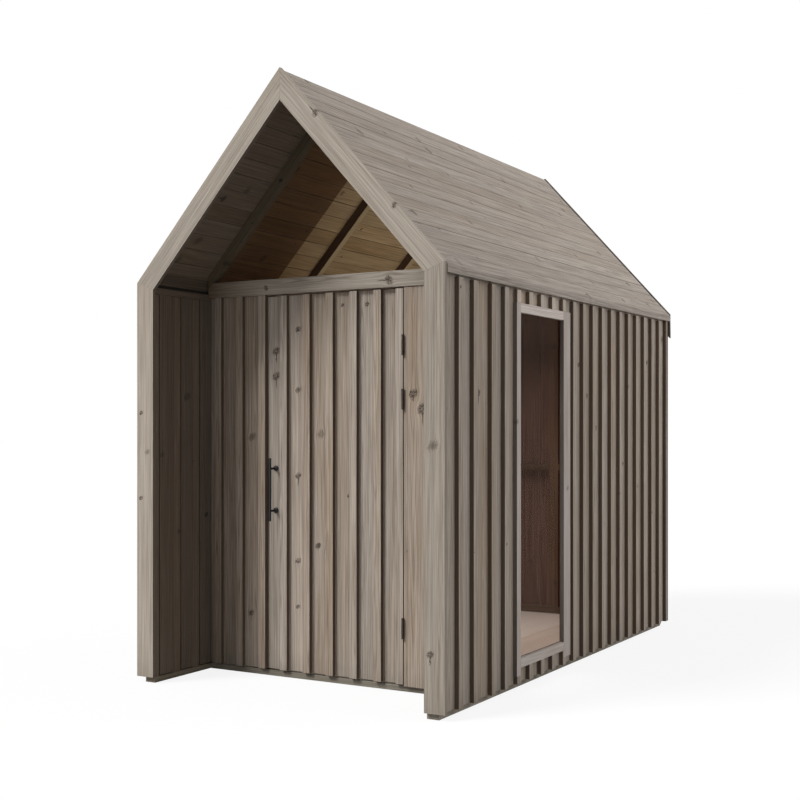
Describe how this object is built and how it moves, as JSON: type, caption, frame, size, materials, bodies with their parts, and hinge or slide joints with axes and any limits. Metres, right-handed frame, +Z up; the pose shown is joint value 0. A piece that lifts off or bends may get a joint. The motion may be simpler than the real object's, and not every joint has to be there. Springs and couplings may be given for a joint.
{
  "type": "wooden garden shed",
  "caption": "Gabled wooden garden shed clad in vertical boards and battens, with a recessed porch, a hinged board door and a tall side window.",
  "frame": {"origin": "middle of the shed's outline in plan, on the ground", "axes": "+Z up, the porch and door face -Y, the side window is on the +X side"},
  "size_m": [1.826, 3.245, 3.08],
  "materials": {
    "black_handle": "black painted steel, satin",
    "dark_bargeboard": "dark stained board, matt",
    "dark_hinge_steel": "dark oxide hinge steel, satin",
    "floor_boards": "plain planed floor boards, matt",
    "inner_framing": "brown spruce framing, matt",
    "pale_window_boards": "pale grey boards, matt",
    "porch_lining": "brown-grey stained boards, matt",
    "roof_boards": "weathered grey roof boards, matt",
    "sill_timber": "pressure treated sill timber, matt",
    "weathered_cladding": "weathered grey-brown spruce boards, matt",
    "weathered_trim": "weathered grey spruce trim boards, matt",
    "window_glass": "clear window glass"
  },
  "bodies": {
    "shed": {"back_mid_rail": "inner_framing", "back_posts": "inner_framing", "back_wall": "weathered_cladding", "door_post_left": "inner_framing", "door_post_right": "weathered_trim", "floor": "floor_boards", "front_beam": "weathered_trim", "front_wall_left": "weathered_cladding", "front_wall_right": "weathered_cladding", "hinges_on_post": "dark_hinge_steel", "left_mid_rail": "inner_framing", "left_wall": "weathered_cladding", "portal_barge_left": "weathered_trim", "portal_barge_right": "weathered_trim", "portal_post_left": "weathered_trim", "portal_post_right": "weathered_trim", "rafter_1_left": "inner_framing", "rafter_1_right": "inner_framing", "rafter_2_left": "inner_framing", "rafter_2_right": "inner_framing", "rafter_3_left": "inner_framing", "rafter_3_right": "inner_framing", "rafter_4_left": "inner_framing", "rafter_4_right": "inner_framing", "rear_barge_left": "dark_bargeboard", "rear_barge_right": "dark_bargeboard", "right_mid_rail": "inner_framing", "right_wall": "weathered_cladding", "roof_left": "roof_boards", "roof_right": "roof_boards", "sill_back": "sill_timber", "sill_front": "sill_timber", "sill_left": "sill_timber", "sill_right": "sill_timber", "top_plate_left": "inner_framing", "top_plate_right": "inner_framing", "window_frame": "inner_framing", "window_glass": "window_glass", "window_trim": "pale_window_boards", "wing_lining_left": "porch_lining", "wing_lining_right": "porch_lining"},
    "door": {"door_handle": "black_handle", "door_leaf": "weathered_cladding", "door_ledges": "inner_framing", "hinges_on_door": "dark_hinge_steel"}
  },
  "joints": [
    {"name": "door_hinge", "type": "hinge", "parent": "shed", "child": "door", "pos_m": [0.4305, -1.1705, 1.033], "axis": [0, 0, 1], "range_deg": [0, 110]}
  ]
}
